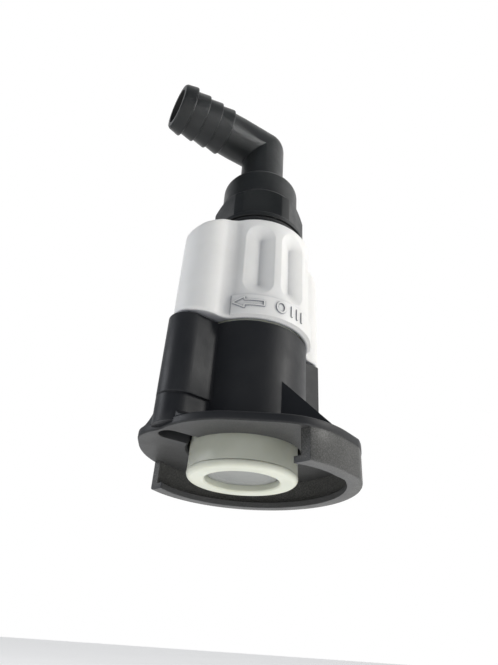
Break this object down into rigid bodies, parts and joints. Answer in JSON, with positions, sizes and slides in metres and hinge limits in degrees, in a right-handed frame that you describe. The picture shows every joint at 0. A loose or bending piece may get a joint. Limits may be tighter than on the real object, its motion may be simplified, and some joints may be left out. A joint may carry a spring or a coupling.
{
  "type": "slide-on container coupler with elbow hose tail",
  "caption": "Claw-footed slide-on coupler with a twist collar, a sprung valve probe and an elbow hose tail.",
  "frame": {"origin": "centre of the valve disc's lower face, on the probe's axis", "axes": "+Z along the probe's axis, from the claw foot up to the elbow; -Y is the plate's flattened front"},
  "size_m": [0.0847, 0.07, 0.1739],
  "materials": {
    "black_plastic": "satin",
    "white_plastic": "satin",
    "ivory_plastic": "satin",
    "grey_plastic": "satin",
    "stainless_steel": "drawn",
    "black_rubber": "matte"
  },
  "bodies": {
    "housing": {"housing": "black_plastic", "wiper_ring": "black_rubber", "collar_retaining_ring": "stainless_steel", "collar_washer": "ivory_plastic"},
    "collar": {"collar": "white_plastic"},
    "probe": {"probe_tube": "ivory_plastic", "probe_nose_ring": "ivory_plastic", "nose_o_ring": "black_rubber", "probe_o_ring_lower": "black_rubber", "probe_o_ring_upper": "black_rubber", "cam_pin_front": "stainless_steel", "cam_pin_rear": "stainless_steel", "spring_guide": "ivory_plastic", "valve_spring": "stainless_steel", "elbow_lock_ring": "black_plastic", "elbow_gasket": "black_rubber", "elbow_o_ring": "black_rubber", "elbow": "black_plastic"},
    "valve": {"valve_disc": "grey_plastic", "valve_seal": "black_rubber", "valve_stem": "stainless_steel", "stem_clip": "stainless_steel"}
  },
  "joints": [
    {"name": "collar_turn", "type": "hinge", "parent": "housing", "child": "collar", "pos_m": [0, 0, 0.07], "axis": [0, 0, 1], "range_deg": [0, 90]},
    {"name": "probe_slide", "type": "slide", "parent": "housing", "child": "probe", "axis": [0, 0, 1], "range_m": [0, 0.012]},
    {"name": "valve_lift", "type": "slide", "parent": "probe", "child": "valve", "axis": [0, 0, 1], "range_m": [0, 0.005], "stiffness_N_per_m": 600, "springref_m": -0.006, "deforming": ["valve_spring"]}
  ],
  "couplings": [
    {"joint": "probe_slide", "follows": "collar_turn", "m_per_rad": 0.007639}
  ]
}
